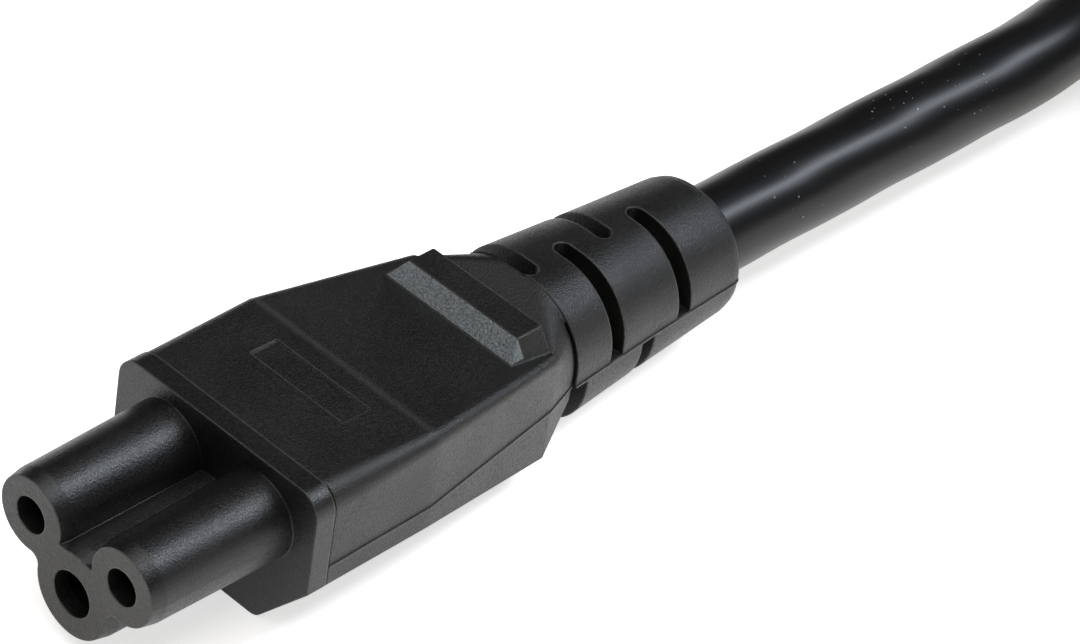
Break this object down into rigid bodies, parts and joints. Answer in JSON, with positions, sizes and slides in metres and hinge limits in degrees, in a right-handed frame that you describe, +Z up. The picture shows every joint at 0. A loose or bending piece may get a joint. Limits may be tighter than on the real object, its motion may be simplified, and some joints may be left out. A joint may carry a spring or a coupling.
{
  "type": "three-pole cloverleaf power connector with cord and mains plug",
  "caption": "Moulded cloverleaf power connector with a slotted strain relief on a round cord that ends in a mains plug.",
  "frame": {"origin": "under the middle of the connector, on the surface its flat underside lies on", "axes": "+Y along the cord away from the nose face, +X to the neutral opening, +Z up from the flat underside to the raised pad"},
  "size_m": [0.0496, 0.357, 0.027],
  "materials": {
    "nose_plastic": "fine grain",
    "grip_rubber": "fine spark-eroded grain",
    "cord_sheath": "smooth satin",
    "tie_strap": "matte",
    "contact_metal": "tin plated",
    "pin_metal": "nickel plated",
    "copper_strand": "bare copper",
    "line_insulation": "satin",
    "neutral_insulation": "satin",
    "earth_insulation": "satin"
  },
  "bodies": {
    "root": {"nose_insert": "nose_plastic", "contact_retainer": "nose_plastic", "connector_grip": "grip_rubber", "line_contact": "contact_metal", "neutral_contact": "contact_metal", "earth_contact": "contact_metal", "cord_lead": "cord_sheath", "cord_hank": "cord_sheath", "cord_tail": "cord_sheath", "cord_tie": "tie_strap", "plug_grip": "grip_rubber", "plug_pin_carrier": "nose_plastic", "line_blade": "pin_metal", "neutral_blade": "pin_metal", "earth_pin": "pin_metal", "line_core": "line_insulation", "neutral_core": "neutral_insulation", "earth_core": "earth_insulation", "line_conductor": "copper_strand", "neutral_conductor": "copper_strand", "earth_conductor": "copper_strand", "plug_line_core": "line_insulation", "plug_neutral_core": "neutral_insulation", "plug_earth_core": "earth_insulation", "plug_line_conductor": "copper_strand", "plug_neutral_conductor": "copper_strand", "plug_earth_conductor": "copper_strand"}
  },
  "joints": []
}
